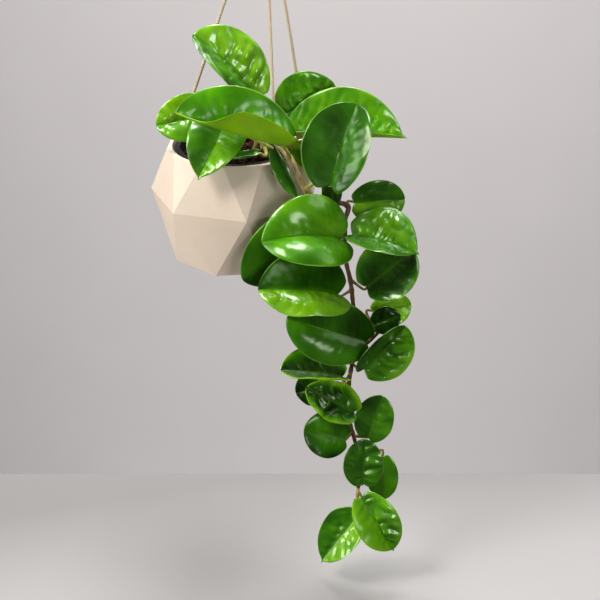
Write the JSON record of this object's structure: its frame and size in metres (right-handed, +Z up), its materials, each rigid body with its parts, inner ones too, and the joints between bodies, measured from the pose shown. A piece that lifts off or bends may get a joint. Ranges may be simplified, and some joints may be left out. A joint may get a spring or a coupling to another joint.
{
  "type": "hanging potted hoya plant",
  "caption": "Faceted pot hung on three cords from a steel ring, with a nursery liner and a trailing wax plant whose thick folded leaves hang far below the rim.",
  "frame": {"origin": "the point where the steel ring bears on its hook: the inner top of the ring", "axes": "+Z straight up against the pull of the hang; -Y is the front, from which the vine hangs at the right of the pot; +X to the right"},
  "size_m": [0.2574, 0.2117, 0.7194],
  "materials": {
    "stoneware": "matte, fine grain",
    "liner_plastic": "satin black",
    "bark_mix": "rough chips",
    "steel_ring": "brushed",
    "jute": "twisted fibre",
    "vine_bark": "smooth young bark",
    "green_stem": "smooth green stem",
    "leaf": "waxy gloss"
  },
  "bodies": {
    "root": {"pot_shell": "stoneware", "nursery_liner": "liner_plastic", "soil": "bark_mix", "hang_ring": "steel_ring", "gather_knot": "jute", "cord_left": "jute", "cord_front": "jute", "cord_right": "jute", "stem_vine": "vine_bark", "stem_left": "green_stem", "stem_back": "green_stem", "leaf_top_large": "leaf", "leaf_top_front": "leaf", "leaf_top_under": "leaf", "leaf_top_rim": "leaf", "leaf_top_inner": "leaf", "leaf_top_small": "leaf", "leaf_top_drooping": "leaf", "leaf_top_tall": "leaf", "leaf_top_left": "leaf", "leaf_top_back": "leaf", "leaf_top_right": "leaf", "leaf_vine_01": "leaf", "leaf_vine_02": "leaf", "leaf_vine_03": "leaf", "leaf_vine_04": "leaf", "leaf_vine_05": "leaf", "leaf_vine_06": "leaf", "leaf_vine_07": "leaf", "leaf_vine_08": "leaf", "leaf_vine_09": "leaf", "leaf_vine_10": "leaf", "leaf_vine_11": "leaf", "leaf_vine_12": "leaf", "leaf_vine_13": "leaf", "leaf_vine_14": "leaf", "leaf_vine_15": "leaf", "leaf_vine_16": "leaf", "leaf_vine_17": "leaf", "leaf_vine_18": "leaf", "leaf_vine_19": "leaf", "leaf_vine_20": "leaf"}
  },
  "joints": []
}
